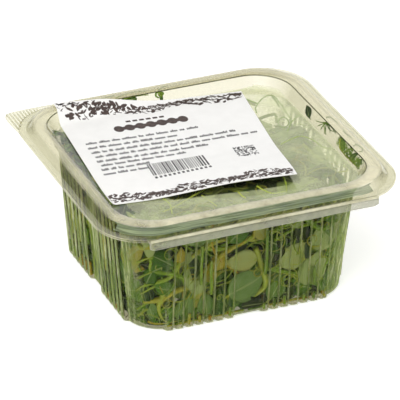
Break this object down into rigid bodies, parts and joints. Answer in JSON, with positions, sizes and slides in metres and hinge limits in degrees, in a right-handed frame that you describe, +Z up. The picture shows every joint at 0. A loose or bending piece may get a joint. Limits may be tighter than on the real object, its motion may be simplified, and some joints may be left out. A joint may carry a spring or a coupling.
{
  "type": "pea shoot microgreens tray",
  "caption": "Cut pea shoots with stipules, leaflets and curling tendrils in a clear fluted tray with a hinged, beaded lid and a paper label.",
  "frame": {"origin": "centre of the tray's foot, on the surface that it stands on", "axes": "+Z up, +X along the hinge, with the hinge at -Y and the opening tab at the -X +Y corner"},
  "size_m": [0.1347, 0.1282, 0.0594],
  "materials": {
    "clear_sheet": "clear glossy formed sheet",
    "label_paper": "matte white paper",
    "shoot_deep_green": "fresh leaf, soft sheen",
    "shoot_pale_green": "fresh leaf, pale bloom",
    "shoot_yellow_green": "fresh leaf, yellow-green"
  },
  "bodies": {
    "base": {"tray": "clear_sheet", "shoot_front_low_left": "shoot_deep_green", "shoot_front_low_right": "shoot_pale_green", "shoot_front_high_left": "shoot_yellow_green", "shoot_front_high_right": "shoot_deep_green", "shoot_middle_low_left": "shoot_pale_green", "shoot_middle_low_right": "shoot_yellow_green", "shoot_middle_high_left": "shoot_deep_green", "shoot_middle_high_right": "shoot_pale_green", "shoot_back_low_left": "shoot_yellow_green", "shoot_back_low_right": "shoot_deep_green", "shoot_back_high_left": "shoot_pale_green", "shoot_back_high_right": "shoot_yellow_green"},
    "lid": {"lid": "clear_sheet", "label": "label_paper"}
  },
  "joints": [
    {"name": "lid_hinge", "type": "hinge", "parent": "base", "child": "lid", "pos_m": [0, -0.0643, 0.0546], "axis": [1, 0, 0], "range_deg": [0, 180]}
  ]
}
